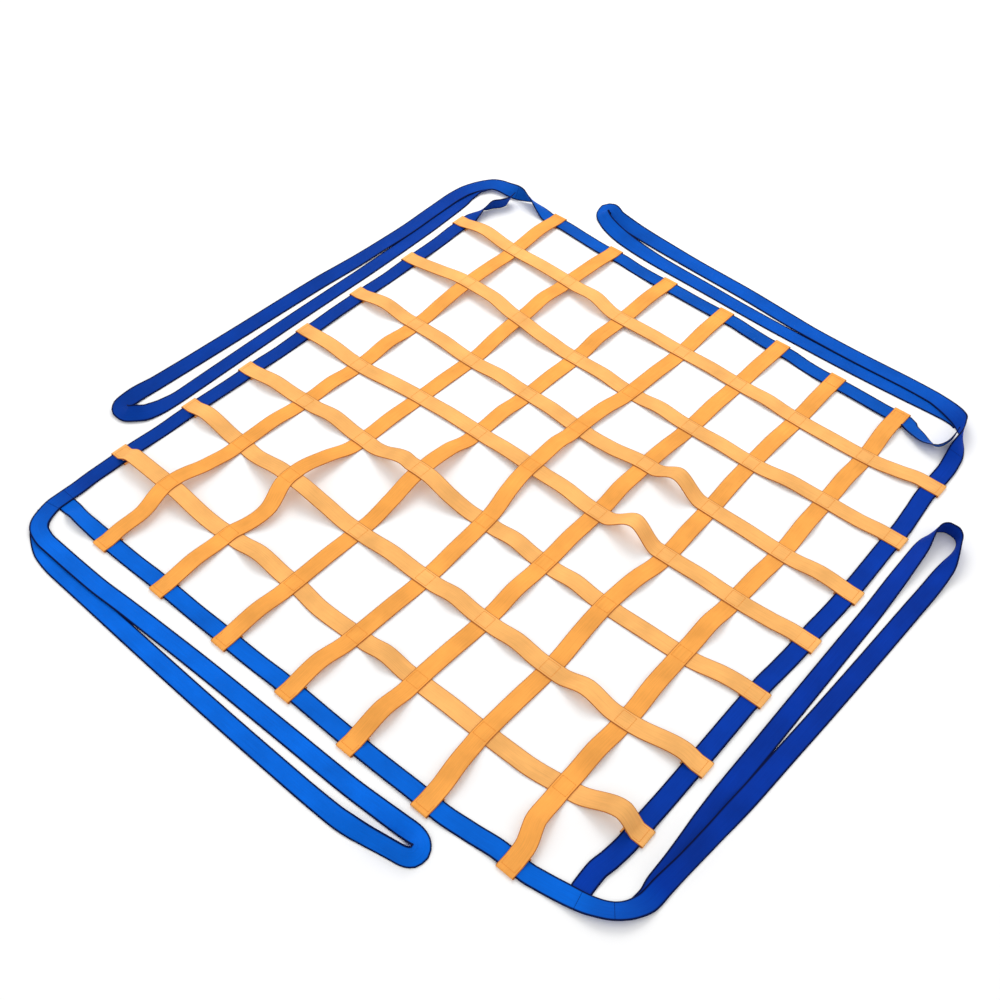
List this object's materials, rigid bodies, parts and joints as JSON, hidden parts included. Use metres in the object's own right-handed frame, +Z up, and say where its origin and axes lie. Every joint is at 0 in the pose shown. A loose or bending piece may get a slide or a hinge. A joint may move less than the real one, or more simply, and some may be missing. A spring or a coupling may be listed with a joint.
{
  "type": "cargo lifting net",
  "caption": "Flat webbing cargo net laid out on the ground: orange straps cross inside a square blue border, and a long lifting loop lies beside each side",
  "frame": {"origin": "on the ground under the middle of the laid-out net and its loops together", "axes": "+Z up; the orange straps run along X and Y; the picture is taken from the +X -Y side"},
  "size_m": [2.1385, 2.1998, 0.0676],
  "materials": {
    "webbing_orange": "woven polyester webbing, light orange, slightly glossy ribs",
    "webbing_blue": "woven polyester webbing, royal blue, slightly glossy ribs"
  },
  "bodies": {
    "root": {"strap_a1": "webbing_orange", "strap_a2": "webbing_orange", "strap_a3": "webbing_orange", "strap_a4": "webbing_orange", "strap_a5": "webbing_orange", "strap_a6": "webbing_orange", "strap_a7": "webbing_orange", "strap_b1": "webbing_orange", "strap_b2": "webbing_orange", "strap_b3": "webbing_orange", "strap_b4": "webbing_orange", "strap_b5": "webbing_orange", "strap_b6": "webbing_orange", "strap_b7": "webbing_orange", "border_west": "webbing_blue", "border_south": "webbing_blue", "border_east": "webbing_blue", "border_north": "webbing_blue"}
  },
  "joints": []
}
